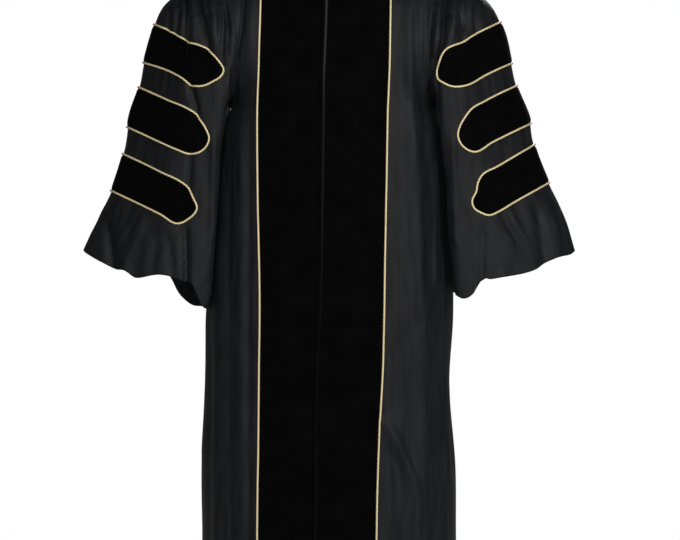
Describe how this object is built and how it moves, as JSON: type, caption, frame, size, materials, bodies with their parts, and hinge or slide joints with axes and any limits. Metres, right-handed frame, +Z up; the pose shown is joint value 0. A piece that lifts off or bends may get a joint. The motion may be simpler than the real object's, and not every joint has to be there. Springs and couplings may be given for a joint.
{
  "type": "doctoral graduation gown, hollow as worn",
  "caption": "Long black graduation gown with velvet front panels, bell sleeves with velvet bars, and gold piping.",
  "frame": {"origin": "middle of the neck opening, level with the points where the shoulder seams meet the neck", "axes": "+Z up, +X to the viewer's right as seen from the front, front towards -Y"},
  "size_m": [0.955, 0.3495, 1.2914],
  "materials": {
    "satin": "black matte satin weave with a soft low sheen",
    "velvet": "deep black cut pile velvet",
    "gold_piping": "pale gold twisted cord, lightly glossy",
    "zip_tape": "black woven tape"
  },
  "bodies": {
    "root": {"front_left": "satin", "front_right": "satin", "back": "satin", "yoke": "satin", "sleeve_left": "satin", "sleeve_right": "satin", "velvet_left": "velvet", "velvet_right": "velvet", "piping_left": "gold_piping", "piping_right": "gold_piping", "front_zip": "zip_tape", "bar_left_1": "velvet", "bar_piping_left_1": "gold_piping", "bar_left_2": "velvet", "bar_piping_left_2": "gold_piping", "bar_left_3": "velvet", "bar_piping_left_3": "gold_piping", "bar_right_1": "velvet", "bar_piping_right_1": "gold_piping", "bar_right_2": "velvet", "bar_piping_right_2": "gold_piping", "bar_right_3": "velvet", "bar_piping_right_3": "gold_piping"}
  },
  "joints": []
}
